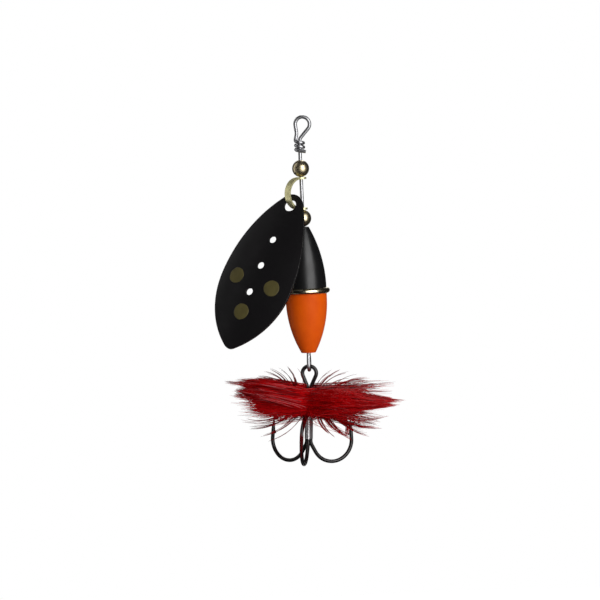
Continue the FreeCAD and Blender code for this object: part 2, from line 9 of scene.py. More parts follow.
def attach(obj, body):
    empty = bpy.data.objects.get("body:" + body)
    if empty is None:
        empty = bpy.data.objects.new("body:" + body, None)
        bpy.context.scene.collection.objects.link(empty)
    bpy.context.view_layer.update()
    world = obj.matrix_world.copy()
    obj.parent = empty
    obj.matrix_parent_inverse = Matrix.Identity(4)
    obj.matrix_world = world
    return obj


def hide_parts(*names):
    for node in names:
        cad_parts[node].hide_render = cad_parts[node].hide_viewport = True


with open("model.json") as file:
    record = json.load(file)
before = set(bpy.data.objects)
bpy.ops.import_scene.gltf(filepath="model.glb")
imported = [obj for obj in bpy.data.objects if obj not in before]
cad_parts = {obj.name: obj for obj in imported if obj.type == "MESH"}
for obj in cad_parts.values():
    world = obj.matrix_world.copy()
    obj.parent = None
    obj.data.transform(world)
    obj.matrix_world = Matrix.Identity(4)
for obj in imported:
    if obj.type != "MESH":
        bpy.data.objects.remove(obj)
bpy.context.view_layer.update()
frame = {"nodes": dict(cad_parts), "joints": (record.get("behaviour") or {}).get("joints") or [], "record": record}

# Metres throughout. The shaft is the Z axis, the line eye is at the origin and the lure hangs
# below it; -Y is the front.

MM = 0.001
RANDOM = np.random.default_rng(11)
scene = bpy.context.scene


def joint_place(name):
    """Where a joint of the frame stands."""
    return np.array(next(joint for joint in frame["joints"] if joint["name"] == name)["pos_m"])


# ------------------------------------------------------------------ camera

CAMERA_AZIMUTH = math.radians(6.5)
CAMERA_ELEVATION = math.radians(3.5)
CAMERA_ROLL = math.radians(2.5)
CAMERA_DISTANCE = 1.3
VIEW_HEIGHT = 141.0 * MM
VIEW_CENTRE_RIGHT = 0.3 * MM
VIEW_CENTRE_DOWN = 41.1 * MM


def make_camera():
    """A long lens in front of the lure, a little to its right and above, rolled clockwise."""
    azimuth, elevation = CAMERA_AZIMUTH, CAMERA_ELEVATION
    right = Vector((math.cos(azimuth), math.sin(azimuth), 0))
    towards = Vector((math.sin(azimuth) * math.cos(elevation),
                      -math.cos(azimuth) * math.cos(elevation), math.sin(elevation)))
    up = towards.cross(right)
    image_right = right * math.cos(CAMERA_ROLL) - up * math.sin(CAMERA_ROLL)
    image_up = right * math.sin(CAMERA_ROLL) + up * math.cos(CAMERA_ROLL)
    centre = image_right * VIEW_CENTRE_RIGHT - image_up * VIEW_CENTRE_DOWN
    data = bpy.data.cameras.new("camera")
    data.angle = 2 * math.atan(VIEW_HEIGHT / 2 / CAMERA_DISTANCE)
    data.clip_start = 0.05
    data.clip_end = 20
    camera = bpy.data.objects.new("camera", data)
    turn = Matrix((image_right, image_up, towards)).transposed().to_4x4()
    camera.matrix_world = Matrix.Translation(centre + towards * CAMERA_DISTANCE) @ turn
    scene.collection.objects.link(camera)
    scene.camera = camera


# ------------------------------------------------------------------ node helpers

def put(tree, socket, value):
    """Gives a socket a plain value, or links it to the socket that feeds it."""
    if isinstance(value, bpy.types.NodeSocket):
        tree.links.new(value, socket)
    else:
        socket.default_value = value


def add(tree, kind, inputs=None, **settings):
    """A shader node; each input is a plain value or the socket that feeds it."""
    node = tree.nodes.new("ShaderNode" + kind)
    for name, value in settings.items():
        setattr(node, name, value)
    for name, value in (inputs or {}).items():
        put(tree, node.inputs[name], value)
    return node


def math_node(tree, operation, *values):
    """The output of a Math node over plain values or sockets."""
    node = tree.nodes.new("ShaderNodeMath")
    node.operation = operation
    for socket, value in zip(node.inputs, values):
        put(tree, socket, value)
    return node.outputs[0]


def mix_colour(tree, factor, low, high):
    """low where the factor is 0, high where it is 1."""
    node = tree.nodes.new("ShaderNodeMix")
    node.data_type = "RGBA"
    for place, value in ((0, factor), (6, low), (7, high)):
        put(tree, node.inputs[place], value)
    return node.outputs[2]


def spread(tree, value, low, high, to_low=0.0, to_high=1.0):
    """Maps low..high of a value onto to_low..to_high."""
    return add(tree, "MapRange", {"Value": value, "From Min": low, "From Max": high,
                                  "To Min": to_low, "To Max": to_high}).outputs["Result"]


def new_group(name, inputs, outputs):
    """A node group; inputs are (name, kind, default), outputs are (name, kind)."""
    group = bpy.data.node_groups.new(name, "ShaderNodeTree")
    for label, kind, default in inputs:
        socket = group.interface.new_socket(name=label, in_out="INPUT",
                                            socket_type="NodeSocket" + kind)
        socket.default_value = default
    for label, kind in outputs:
        group.interface.new_socket(name=label, in_out="OUTPUT", socket_type="NodeSocket" + kind)
    entry = group.nodes.new("NodeGroupInput")
    leave = group.nodes.new("NodeGroupOutput")
    return group, entry.outputs, leave.inputs


def use_group(tree, group, **inputs):
    """Places a group in a tree; its inputs are named with underscores for spaces."""
    node = tree.nodes.new("ShaderNodeGroup")
    node.node_tree = group
    for name, value in inputs.items():
        put(tree, node.inputs[name.replace("_", " ").capitalize()], value)
    return node.outputs


# ------------------------------------------------------------------ shared effects

def make_worn_edges():
    """Edge wear: where the rounded normal leaves the true one, broken up by noise.
    Gives the wear mask and the rounded normal."""
    group, take, give = new_group(
        "worn_edges",
        [("Width", "Float", 0.1 * MM), ("Amount", "Float", 0.5), ("Grain", "Float", 3000.0)],
        [("Wear", "Float"), ("Normal", "Vector")])
    rounded = add(group, "Bevel", {"Radius": take["Width"]}, samples=6)
    geometry = add(group, "NewGeometry")
    dot = add(group, "VectorMath", {0: rounded.outputs["Normal"], 1: geometry.outputs["Normal"]},
              operation="DOT_PRODUCT")
    bend = spread(group, dot.outputs["Value"], 0.995, 0.8)
    place = add(group, "TexCoord")
    noise = add(group, "TexNoise", {"Vector": place.outputs["Object"], "Scale": take["Grain"],
                                    "Detail": 3.0})
    chips = spread(group, noise.outputs["Fac"], 0.42, 0.62)
    wear = math_node(group, "MULTIPLY", math_node(group, "MULTIPLY", bend, chips), take["Amount"])
    group.links.new(wear, give["Wear"])
    group.links.new(rounded.outputs["Normal"], give["Normal"])
    return group


def make_handling():
    """Handling marks: cloudy fingering at a large scale and fine specks at a small one.
    Gives a mask for each."""
    group, take, give = new_group(
        "handling", [("Cloud size", "Float", 300.0), ("Speck size", "Float", 4000.0)],
        [("Cloud", "Float"), ("Specks", "Float")])
    place = add(group, "TexCoord").outputs["Object"]
    cloud = add(group, "TexNoise", {"Vector": place, "Scale": take["Cloud size"], "Detail": 4.0})
    speck = add(group, "TexNoise", {"Vector": place, "Scale": take["Speck size"], "Detail": 2.0})
    group.links.new(spread(group, cloud.outputs["Fac"], 0.35, 0.7), give["Cloud"])
    group.links.new(spread(group, speck.outputs["Fac"], 0.62, 0.74), give["Specks"])
    return group


def make_turned_lines():
    """Fine rings round the shaft's axis, as a lathe or a drawing die leaves, as a height."""
    group, take, give = new_group(
        "turned_lines", [("Spacing", "Float", 0.05 * MM), ("Wander", "Float", 0.3)],
        [("Height", "Float")])
    place = add(group, "TexCoord").outputs["Object"]
    parts = add(group, "SeparateXYZ", {"Vector": place})
    stretched = add(group, "CombineXYZ", {
        "X": math_node(group, "MULTIPLY", parts.outputs["X"], take["Wander"]),
        "Y": math_node(group, "MULTIPLY", parts.outputs["Y"], take["Wander"]),
        "Z": parts.outputs["Z"]})
    scale = math_node(group, "DIVIDE", 1.0, take["Spacing"])
    noise = add(group, "TexNoise", {"Vector": stretched.outputs["Vector"], "Scale": scale,
                                    "Detail": 1.0})
    group.links.new(noise.outputs["Fac"], give["Height"])
    return group


worn_edges = make_worn_edges()
handling = make_handling()
turned_lines = make_turned_lines()


# ------------------------------------------------------------------ materials

def new_material(name):
    """A material with a Principled BSDF; returns the material, its tree and the shader."""
    material = bpy.data.materials.new(name)
    material.use_nodes = True
    tree = material.node_tree
    shader = tree.nodes["Principled BSDF"]
    return material, tree, shader


def feed(tree, shader, **inputs):
    """Sets or links inputs of the shader, named with underscores for spaces."""
    for name, value in inputs.items():
        put(tree, shader.inputs[name.replace("_", " ")], value)


def bump(tree, height, distance, normal=None):
    """The normal of a surface raised by a height, over another normal if one is given."""
    inputs = {"Height": height, "Distance": distance, "Strength": 1.0}
    if normal is not None:
        inputs["Normal"] = normal
    return add(tree, "Bump", inputs).outputs["Normal"]


def polished_metal(name, colour, tarnish, roughness, metallic, line_spacing, line_depth):
    """Bright metal with turning lines, cloudy tarnish and specks."""
    material, tree, shader = new_material(name)
    marks = use_group(tree, handling, cloud_size=420.0, speck_size=5000.0)
    lines = use_group(tree, turned_lines, spacing=line_spacing, wander=0.05)
    shade = math_node(tree, "MULTIPLY", marks["Cloud"], 0.4)
    base = mix_colour(tree, shade, colour, tarnish)
    spots = math_node(tree, "MULTIPLY", marks["Specks"], 0.25)
    feed(tree, shader, Base_Color=mix_colour(tree, spots, base, tarnish), Metallic=metallic,
         Roughness=spread(tree, marks["Cloud"], 0.0, 1.0, roughness * 0.85, roughness * 1.25),
         Normal=bump(tree, lines["Height"], line_depth))
    return material


def lacquer(name, colour, deep_colour, roughness, bare_metal, wear, peel_depth, specular):
    """Paint over metal: slight orange peel, cloudy tone, and metal at worn edges."""
    material, tree, shader = new_material(name)
    marks = use_group(tree, handling, cloud_size=260.0, speck_size=3500.0)
    edges = use_group(tree, worn_edges, width=0.12 * MM, amount=wear, grain=2600.0)
    place = add(tree, "TexCoord").outputs["Object"]
    peel = add(tree, "TexNoise", {"Vector": place, "Scale": 1400.0, "Detail": 1.5})
    tone = mix_colour(tree, marks["Cloud"], colour, deep_colour)
    rough = spread(tree, marks["Cloud"], 0.0, 1.0, roughness, roughness * 1.4)
    feed(tree, shader, Base_Color=mix_colour(tree, edges["Wear"], tone, bare_metal),
         Metallic=edges["Wear"], Roughness=rough, Specular_IOR_Level=specular,
         Normal=bump(tree, peel.outputs["Fac"], peel_depth, normal=edges["Normal"]))
    return material


def thread_material():
    """Waxed red thread: twisted fibre bump along the piece's own UV."""
    material, tree, shader = new_material("waxed_thread")
    uv = add(tree, "TexCoord").outputs["UV"]
    twist = add(tree, "TexWave", {"Vector": uv, "Scale": 60.0, "Distortion": 1.5},
                bands_direction="DIAGONAL")
    tone = mix_colour(tree, twist.outputs["Fac"], (0.22, 0.004, 0.01, 1), (0.42, 0.012, 0.02, 1))
    feed(tree, shader, Base_Color=tone, Roughness=0.55, Sheen_Weight=0.3,
         Normal=bump(tree, twist.outputs["Fac"], 0.02 * MM))
    return material


def tinsel_material():
    """Flat silver tinsel: bright metal with fine lengthwise scratches and dulled patches."""
    material, tree, shader = new_material("flat_tinsel")
    place = add(tree, "TexCoord").outputs["Object"]
    stretch = add(tree, "Mapping", {"Vector": place, "Scale": (1.0, 1.0, 0.12)})
    streaks = add(tree, "TexNoise", {"Vector": stretch.outputs["Vector"], "Scale": 6000.0,
                                     "Detail": 3.0})
    marks = use_group(tree, handling, cloud_size=700.0, speck_size=6000.0)
    tone = mix_colour(tree, streaks.outputs["Fac"], (0.42, 0.41, 0.42, 1), (0.86, 0.86, 0.87, 1))
    feed(tree, shader, Base_Color=mix_colour(tree, marks["Specks"], tone, (0.2, 0.19, 0.19, 1)),
         Metallic=0.85, Roughness=spread(tree, marks["Cloud"], 0.0, 1.0, 0.28, 0.5),
         Normal=bump(tree, streaks.outputs["Fac"], 0.01 * MM))
    return material


def hair_material():
    """Dyed hair: each strand has its own tone."""
    material, tree, shader = new_material("dyed_hair")
    strand = add(tree, "Attribute", attribute_name="strand_tone").outputs["Color"]
    tone = add(tree, "SeparateColor", {"Color": strand})
    deep, bright = (0.30, 0.0, 0.002, 1), (0.86, 0.001, 0.004, 1)
    base = mix_colour(tree, tone.outputs["Red"], deep, bright)
    dark = mix_colour(tree, tone.outputs["Green"], base, (0.03, 0.004, 0.006, 1))
    # The pale pink strands are partly a strand colour and partly painted highlight standing in for the sheen
    # streaks in the hair.
    pale = mix_colour(tree, tone.outputs["Blue"], dark, (0.72, 0.2, 0.22, 1))
    feed(tree, shader, Base_Color=pale, Roughness=0.5, Specular_IOR_Level=0.12)
    return material


BRASS, BRASS_TARNISH = (0.68, 0.58, 0.38, 1), (0.36, 0.30, 0.17, 1)
PALE_BRASS, PALE_TARNISH = (0.90, 0.85, 0.47, 1), (0.66, 0.60, 0.28, 1)
STEEL, STEEL_DULL = (0.50, 0.50, 0.515, 1), (0.30, 0.30, 0.31, 1)
BLACK_NICKEL, NICKEL_DULL = (0.055, 0.052, 0.053, 1), (0.02, 0.019, 0.019, 1)


def make_materials():
    """One finish for each of the record's material slots."""
    return {
        "steel_wire": polished_metal("drawn_steel", STEEL, STEEL_DULL, 0.36, 0.95, 0.08 * MM,
                                     0.001 * MM),
        "brass": polished_metal("bead_brass", BRASS, BRASS_TARNISH, 0.33, 1.0, 0.05 * MM,
                                0.0006 * MM),
        "pale_brass": polished_metal("strip_brass", PALE_BRASS, PALE_TARNISH, 0.4, 0.8, 0.06 * MM,
                                     0.0008 * MM),
        "black_nickel": polished_metal("black_nickel", BLACK_NICKEL, NICKEL_DULL, 0.32, 0.9,
                                       0.09 * MM, 0.001 * MM),
        "black_blade": lacquer("blade_lacquer", (0.009, 0.008, 0.009, 1), (0.006, 0.0055, 0.006, 1),
                               0.3, (0.36, 0.35, 0.32, 1), 0.45, 0.003 * MM, 0.3),
        "black_body": lacquer("nose_lacquer", (0.008, 0.008, 0.009, 1), (0.006, 0.006, 0.006, 1),
                              0.27, (0.5, 0.45, 0.25, 1), 0.1, 0.002 * MM, 0.42),
        "orange_body": lacquer("tail_lacquer", (0.84, 0.115, 0.001, 1), (0.76, 0.09, 0.001, 1),
                               0.42, (0.55, 0.4, 0.2, 1), 0.1, 0.002 * MM, 0.12),
        "red_thread": thread_material(),
        "silver_tinsel": tinsel_material(),
        "red_hair": hair_material(),
    }


materials = make_materials()
slot_of_node = {entry["node"]: entry["material_slot"] for entry in frame["record"]["subparts"]}


WELD_DISTANCE = 0.0005 * MM
SHARP_EDGE = math.radians(35)


def smooth_node(node):
    """Joins the loose triangles for shading and keeps sharp edges sharp."""
    node.data.polygons.foreach_set("use_smooth", [True] * len(node.data.polygons))
    weld = node.modifiers.new("weld", "WELD")
    weld.merge_threshold = WELD_DISTANCE
    split = node.modifiers.new("sharp_edges", "EDGE_SPLIT")
    split.split_angle = SHARP_EDGE


def dress_cad_nodes():
    """Gives each CAD node its slot's finish; the collar ring's brass is turned and brighter."""
    ring_finish = polished_metal("ring_brass", (0.80, 0.73, 0.52, 1), (0.34, 0.25, 0.12, 1), 0.22,
                                 1.0, 0.05 * MM, 0.0008 * MM)
    for name, node in frame["nodes"].items():
        finish = ring_finish if name == "collar_ring" else materials[slot_of_node[name]]
        node.data.materials.clear()
        node.data.materials.append(finish)
        smooth_node(node)


# ------------------------------------------------------------------ surfaces from numpy arrays

def mesh_piece(name, points, quads, caps=None):
    """A smooth mesh object at the origin from an array of points, the corners of its quads and
    the corners of the faces that close its ends."""
    faces = quads.tolist() + ([] if caps is None else caps.tolist())
    mesh = bpy.data.meshes.new(name)
    mesh.from_pydata(points.reshape(-1, 3).tolist(), [], faces)
    mesh.polygons.foreach_set("use_smooth", [True] * len(mesh.polygons))
    mesh.update()
    piece = bpy.data.objects.new(name, mesh)
    scene.collection.objects.link(piece)
    return piece


def grid_quads(rows, columns, wrap_columns):
    """Corner numbers of the quads of a rows by columns grid, row after row."""
    row = np.arange(rows - 1)[:, None]
    last = columns if wrap_columns else columns - 1
    column = np.arange(last)[None, :]
    beside = (column + 1) % columns
    corners = np.stack([row * columns + column, row * columns + beside,
                        (row + 1) * columns + beside, (row + 1) * columns + column], axis=-1)
    return corners.reshape(-1, 4)


def end_caps(rows, columns):
    """One flat face that closes the first ring of a wrapped grid and one that closes the last."""
    ring = np.arange(columns)
    return np.stack([ring, (rows - 1) * columns + ring[::-1]])


def set_uv(piece, across, along):
    """A UV map read from two values per vertex."""
    mesh = piece.data
    corner = np.empty(len(mesh.loops), dtype=np.int32)
    mesh.loops.foreach_get("vertex_index", corner)
    layer = mesh.uv_layers.new(name="uv")
    layer.data.foreach_set("uv", np.stack([across[corner], along[corner]], axis=1).ravel())


# ------------------------------------------------------------------ hair

STRAND_SIDES = 3
STRAND_RINGS = 8
STRAND_RADIUS = 0.08 * MM
HAIR_MIDDLE = -65.2 * MM
# share of the root's radius, squared, that a strand keeps at its tip
TIP_SHARE = 0.04

# how the treble hangs: turned about its shank, and leaning to the left in the wire loop
HANG_TURN = math.radians(-2.5)
HANG_LEAN = math.radians(3.2)
LOOP_BOTTOM = joint_place("hook_swing")
TREBLE_TURN = np.array(Matrix.Rotation(HANG_TURN, 3, "Z"))
TREBLE_LEAN = np.array(Matrix.Rotation(HANG_LEAN, 3, "Y"))


def strand_mesh(name, paths, root_radius, tone):
    """Tapered three-sided strands. Each path is a row of points; a ring of three corners stands
    round each point, square to the path, and its radius falls off towards the tip as the square
    root of what is left. Rings join into walls, and both ends close with a triangle."""
    count, rings = paths.shape[:2]
    heading = np.gradient(paths, axis=1)
    heading /= np.linalg.norm(heading, axis=2, keepdims=True)
    upright = np.zeros_like(heading)
    upright[..., 2] = 1.0
    side = np.cross(heading, upright)
    side /= np.linalg.norm(side, axis=2, keepdims=True)
    other = np.cross(side, heading)
    place = np.linspace(0, 1, rings)
    radius = root_radius[:, None] * np.sqrt(np.clip(1 + TIP_SHARE - place[None, :], TIP_SHARE, 1))
    turn = np.arange(STRAND_SIDES) * 2 * math.pi / STRAND_SIDES
    round_side = np.cos(turn)[None, None, :, None] * side[:, :, None, :]
    round_other = np.sin(turn)[None, None, :, None] * other[:, :, None, :]
    points = paths[:, :, None, :] + radius[:, :, None, None] * (round_side + round_other)
    one = grid_quads(rings, STRAND_SIDES, True)[:, ::-1]
    per_strand = rings * STRAND_SIDES
    first = np.arange(count)[:, None, None] * per_strand
    quads = (one[None] + first).reshape(-1, 4)
    cap = np.array([[0, 1, 2], [per_strand - 1, per_strand - 2, per_strand - 3]])
    caps = (cap[None] + first).reshape(-1, 3)
    piece = mesh_piece(name, points, quads, caps)
    colours = piece.data.attributes.new("strand_tone", "FLOAT_COLOR", "POINT")
    values = np.repeat(tone, per_strand, axis=0)
    colours.data.foreach_set("color", values.astype(np.float32).ravel())
    return piece


def strand_tones(count, dark_share, pale_share):
    """Red brightness, a dark flag and a pale flag for each strand."""
    tone = np.ones((count, 4))
    tone[:, 0] = RANDOM.beta(2.0, 2.2, count)
    kind = RANDOM.random(count)
    tone[:, 1] = np.where(kind < dark_share, RANDOM.uniform(0.55, 1.0, count), 0.0)
    tone[:, 2] = np.where(kind > 1 - pale_share, RANDOM.uniform(0.3, 0.9, count), 0.0)
    return tone


def hung(points):
    """Points given round the treble's own upright shank, put where the treble hangs: turned about
    the shank, then leaned about the bottom of the wire loop."""
    turned = points @ TREBLE_TURN.T
    return (turned - LOOP_BOTTOM) @ TREBLE_LEAN.T + LOOP_BOTTOM


# how far a strand strays from its lock: its azimuth, its level, its sway, and how much of the
# stray is gone at the tip
STRAY_AZIMUTH = 0.22
STRAY_LEVEL = 0.2
STRAY_SWAY = 0.22 * MM
TIP_CLOSING = 0.78


def tuft_paths(count, side, locks, fan, gather, reach, reach_scatter, root_height, tip_height,
               rise):
    """Strands that leave the shank for one side in pointed locks. A strand's distance out grows
    evenly along it to its lock's reach; its azimuth is the lock's, drawn back by the gather
    towards the tip, plus its own; its height is the middle plus its share of the rise plus its
    level, from -1 to 1, times a half height that runs from the root's to the tip's. The strand's
    own part of its azimuth and level shrinks along it, so each lock comes to a point."""
    share = np.linspace(0, 1, STRAND_RINGS)[None, :]
    lock = RANDOM.integers(0, locks, count)
    azimuth = RANDOM.normal(0, fan, locks)[lock][:, None]
    level = RANDOM.uniform(-1, 1, locks)[lock][:, None]
    length = (reach + RANDOM.normal(0, reach_scatter, locks))[lock]
    length = (length * RANDOM.uniform(0.86, 1.06, count))[:, None]
    closing = 1 - TIP_CLOSING * share
    azimuth = (azimuth * (1 - gather * share ** 1.5)
               + RANDOM.normal(0, STRAY_AZIMUTH, count)[:, None] * closing)
    level = level + RANDOM.normal(0, STRAY_LEVEL, count)[:, None] * closing
    start = RANDOM.uniform(0.3, 1.5, count)[:, None] * MM
    out = start + (length - start) * share
    half_height = root_height + (tip_height - root_height) * share ** 1.2
    sway = RANDOM.normal(0, STRAY_SWAY, count)[:, None]
    wave = sway * np.sin(share * math.pi * RANDOM.uniform(0.7, 1.7, count)[:, None])
    x = side * (out * np.cos(azimuth) + wave * 0.3)
    y = out * np.sin(azimuth) + wave
    z = HAIR_MIDDLE + rise * share + half_height * level + wave * 0.6
    return hung(np.stack([x, y, z], axis=2))


def crossing_paths(count, face, reach, height):
    """Strands laid across one face of the shank. A strand starts beside the shank, passes in
    front of it and runs off to the other side: its point goes in a straight line along X, bows
    out from the shank by a half sine and closes up on the middle height towards its tip."""
    share = np.linspace(0, 1, STRAND_RINGS)[None, :]
    way = np.where(RANDOM.random(count) < 0.5, -1.0, 1.0)[:, None]
    start = RANDOM.uniform(-1.5, 5.0, count)[:, None] * MM
    end = (reach + RANDOM.normal(0, 2.4 * MM, count))[:, None]
    x = way * (share * (end + start) - start)
    layer = RANDOM.uniform(1.2, 3.6, count)[:, None] * MM
    opening = RANDOM.uniform(0.5, 6.5, count)[:, None] * MM
    y = face * (layer + opening * share ** 1.5 + 0.5 * MM * np.sin(share * math.pi))
    offset = RANDOM.uniform(-1, 1, count)
    offset = np.sign(offset) * np.abs(offset) ** 0.85
    spread_z = height * (1 - 0.25 * share) * offset[:, None]
    lift = RANDOM.normal(0.2, 0.9, count)[:, None] * MM * share
    z = HAIR_MIDDLE + spread_z + lift
    return hung(np.stack([x, y, z], axis=2))


def bunch_paths(start, middle, end, count, width):
    """Strands of one bunch: each is the quadratic curve from start past middle to end, with its
    own small offset that shrinks to two fifths at the tip."""
    share = np.linspace(0, 1, STRAND_RINGS)[None, :, None]
    corners = [corner[None, None, :] for corner in (start, middle, end)]
    aim = 2 * corners[1] - (corners[0] + corners[2]) / 2
    curve = (1 - share) ** 2 * corners[0] + 2 * share * (1 - share) * aim + share ** 2 * corners[2]
    offset = RANDOM.normal(0, width, (count, 1, 3))
    length = RANDOM.uniform(0.82, 1.0, (count, 1, 1))
    along = corners[0] + (curve - corners[0]) * length
    return along + offset * (1 - 0.6 * share)


# Loose hair stands off the dressing in four fans. A fan's bunches go from the flattest,
# rooted furthest out, to the steepest, rooted near the shank. side and up say which quarter it
# fills, rise (mm) how far off the middle it is rooted, angles (degrees off level) and lengths
# (mm) its first and last bunch, strands how many a bunch has on average, dark how dark they are.
LOOSE_RANDOM = np.random.default_rng(5)
LOOSE_ROOT_OUT = (7.0 * MM, 1.5 * MM)
LOOSE_FRONT = -3.0 * MM
LOOSE_THICKNESS = 0.09 * MM
LOOSE_FANS = [
    dict(side=1.0, up=1.0, rise=2.9, bunches=11, strands=2.5, dark=0.55, angles=(4, 46),
         lengths=(11.5, 6)),
    dict(side=-1.0, up=1.0, rise=4.1, bunches=9, strands=2.5, dark=0.85, angles=(22, 80),
         lengths=(7, 4)),
    dict(side=1.0, up=-1.0, rise=2.8, bunches=12, strands=7, dark=0.25, angles=(4, 66),
         lengths=(13, 6)),
    dict(side=-1.0, up=-1.0, rise=2.6, bunches=8, strands=3, dark=0.6, angles=(2, 30),
         lengths=(9.5, 12)),
]
LOOSE_ANGLE_SCATTER = 4.0
LOOSE_FRONT_SCATTER = 0.6 * MM
LOOSE_BOW = 0.1
LOOSE_FORWARD = 0.08
BUNCH_WIDEST = 0.26 * MM
# a wisp of hair comes down by the point of the right hook and of the front hook
WISP_ROOT_DROP = 3.0 * MM
HOOK_POINT_REACH = 10.45 * MM
HOOK_WIRE = 0.45 * MM
FRONT_HOOK = math.radians(270)
RIGHT_HOOK = math.radians(30)


def fan_bunches(side, up, rise, bunches, strands, dark, angles, lengths):
    """The bunches of one fan, each a start, a point on the way and an end. The end lies at the
    bunch's length and angle from its start, and the point half way is lifted off the straight
    line by a tenth of the length."""
    found = []
    for share in (np.arange(bunches) + 0.5) / bunches:
        degrees = np.interp(share, (0, 1), angles) + LOOSE_RANDOM.normal(0, LOOSE_ANGLE_SCATTER)
        angle = math.radians(degrees)
        length = np.interp(share, (0, 1), lengths) * MM * LOOSE_RANDOM.uniform(0.85, 1.15)
        out = np.interp(share, (0, 1), LOOSE_ROOT_OUT) * LOOSE_RANDOM.uniform(0.7, 1.3)
        start = np.array([side * out, LOOSE_FRONT + LOOSE_RANDOM.normal(0, LOOSE_FRONT_SCATTER),
                          HAIR_MIDDLE + up * rise * MM])
        run = length * np.array([side * math.cos(angle), -LOOSE_FORWARD,
                                 up * math.sin(angle)])
        bow = LOOSE_BOW * length * np.array([-side * math.sin(angle), 0, up * math.cos(angle)])
        count = max(1, round(strands * LOOSE_RANDOM.uniform(0.5, 1.5)))
        found.append((start, start + run / 2 + bow, start + run, count, dark))
    return found


def hook_wisp(azimuth, root_out, stand_off, drop, count, dark):
    """A bunch that comes out of the dressing's lower edge at a distance from the shank and goes
    down beside the hook's point, at a stand-off from it: outside it, or inside if negative."""
    out = np.array([root_out, HOOK_POINT_REACH + stand_off, HOOK_POINT_REACH + 1.2 * stand_off])
    level = HAIR_MIDDLE - WISP_ROOT_DROP + np.array([0.3 * MM, -0.4 * drop, -drop])
    corners = hung(np.stack([out * math.cos(azimuth), out * math.sin(azimuth), level], axis=1))
    return (*corners, count, dark)


def make_loose_hair():
    """The bunches and single hairs that stand away from the body of the dressing."""
    found = [bunch for fan in LOOSE_FANS for bunch in fan_bunches(**fan)]
    found.append(hook_wisp(RIGHT_HOOK, 7.2 * MM, -1.4 * HOOK_WIRE, 5.6 * MM, 34, 0.1))
    found.append(hook_wisp(FRONT_HOOK, 2.6 * MM, 1.1 * HOOK_WIRE, 9.4 * MM, 130, 0.8))
    paths, tones = [], []
    for start, middle, end, count, dark in found:
        width = 0.08 * MM + 0.03 * MM * math.sqrt(count)
        paths.append(bunch_paths(start, middle, end, count, min(width, BUNCH_WIDEST)))
        tone = strand_tones(count, 0.0, 0.05)
        tone[:, 1] = np.clip(dark + RANDOM.normal(0, 0.12, count), 0, 1)
        tones.append(tone)
    paths = np.concatenate(paths)
    radii = np.full(len(paths), LOOSE_THICKNESS)
    return strand_mesh("hair_loose", paths, radii, np.concatenate(tones))


RAGGED_STRANDS = 7
RAGGED_FAN = math.radians(30)
RAGGED_GATHER = 0.1
RAGGED_ROOT_HEIGHT = 3.2 * MM
# side, how many thin locks, their reach and its scatter, half the height they spread over at
# the tip, rise
RAGGED_LOCKS = [(-1.0, 44, 14.5 * MM, 1.6 * MM, 5.0 * MM, 0.2 * MM),
                (1.0, 46, 16.5 * MM, 2.2 * MM, 5.4 * MM, -0.9 * MM)]


def make_ragged_hair():
    """Thin separate locks that stand above and below the tufts."""
    paths, tones = [], []
    for side, locks, reach, scatter, tip_height, rise in RAGGED_LOCKS:
        count = locks * RAGGED_STRANDS
        paths.append(tuft_paths(count, side, locks, RAGGED_FAN, RAGGED_GATHER, reach, scatter,
                                RAGGED_ROOT_HEIGHT, tip_height, rise))
        tones.append(strand_tones(count, 0.6, 0.08))
    paths = np.concatenate(paths)
    radii = RANDOM.uniform(0.7, 1.1, len(paths)) * STRAND_RADIUS
    return strand_mesh("hair_ragged", paths, radii, np.concatenate(tones))


def make_tuft(name, count, dark, pale, **shape):
    """One side's tuft, with its share of dark and of pale strands."""
    radii = RANDOM.uniform(0.75, 1.2, count) * STRAND_RADIUS
    return strand_mesh(name, tuft_paths(count, **shape), radii, strand_tones(count, dark, pale))


CROSSING_STRANDS = 2600
CROSSING_REACH = 10 * MM
CROSSING_HEIGHT = 3.1 * MM


def make_crossing(name, face):
    """The layer of strands across the front or the back of the shank, in the brighter reds."""
    count = CROSSING_STRANDS
    radii = RANDOM.uniform(0.75, 1.2, count) * STRAND_RADIUS
    tones = strand_tones(count, 0.02, 0.02)
    tones[:, 0] = 0.35 + 0.65 * tones[:, 0]
    return strand_mesh(name, crossing_paths(count, face, CROSSING_REACH, CROSSING_HEIGHT),
                       radii, tones)


def finish_on_treble(piece, node, slot):
    """A dressed piece: it has a slot's finish, rides the treble and stands for a CAD node."""
    piece.data.materials.append(materials[slot])
    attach(piece, "treble")
    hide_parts(node)


def make_hair():
    """The dressing: a broad tuft to the left, a pointed one to the right, a layer across the
    front and one across the back, ragged locks above and below, and the loose strands."""
    pieces = [
        # The left tuft's pale strands are partly strand colour and partly painted highlight for the pink sheen
        # streaks on that side.
        make_tuft("hair_left", 3300, 0.16, 0.17, side=-1.0, locks=120, fan=math.radians(27),
                  gather=0.15, reach=15.0 * MM, reach_scatter=1.3 * MM, root_height=2.7 * MM,
                  tip_height=1.7 * MM, rise=3.1 * MM),
        make_tuft("hair_right", 3300, 0.07, 0.05, side=1.0, locks=100, fan=math.radians(24),
                  gather=0.6, reach=17.3 * MM, reach_scatter=1.6 * MM, root_height=2.8 * MM,
                  tip_height=0.9 * MM, rise=0.1 * MM),
        make_crossing("hair_front", -1.0),
        make_crossing("hair_back", 1.0),
        make_ragged_hair(),
        make_loose_hair(),
    ]
    for piece in pieces:
        finish_on_treble(piece, "hair_skirt", "red_hair")


# ------------------------------------------------------------------ thread and tinsel

THREAD_TOP = -63.2 * MM
THREAD_END = -66.9 * MM
TINSEL_END = -74.0 * MM
SHANK_STAND_OFF = 0.53 * MM
SHANK_COVER = 0.5 * MM
FIRST_SHANK = math.radians(30)
SHANK_PITCH = math.radians(120)
TINSEL_TURNS = 22.0
TINSEL_LAP = 0.028 * MM
THREAD_TURNS = 16.0
THREAD_CORE = 1.06 * MM
THREAD_HEAP = 0.3 * MM
THREAD_ROUND = 0.09 * MM
SLEEVE_END = 0.02


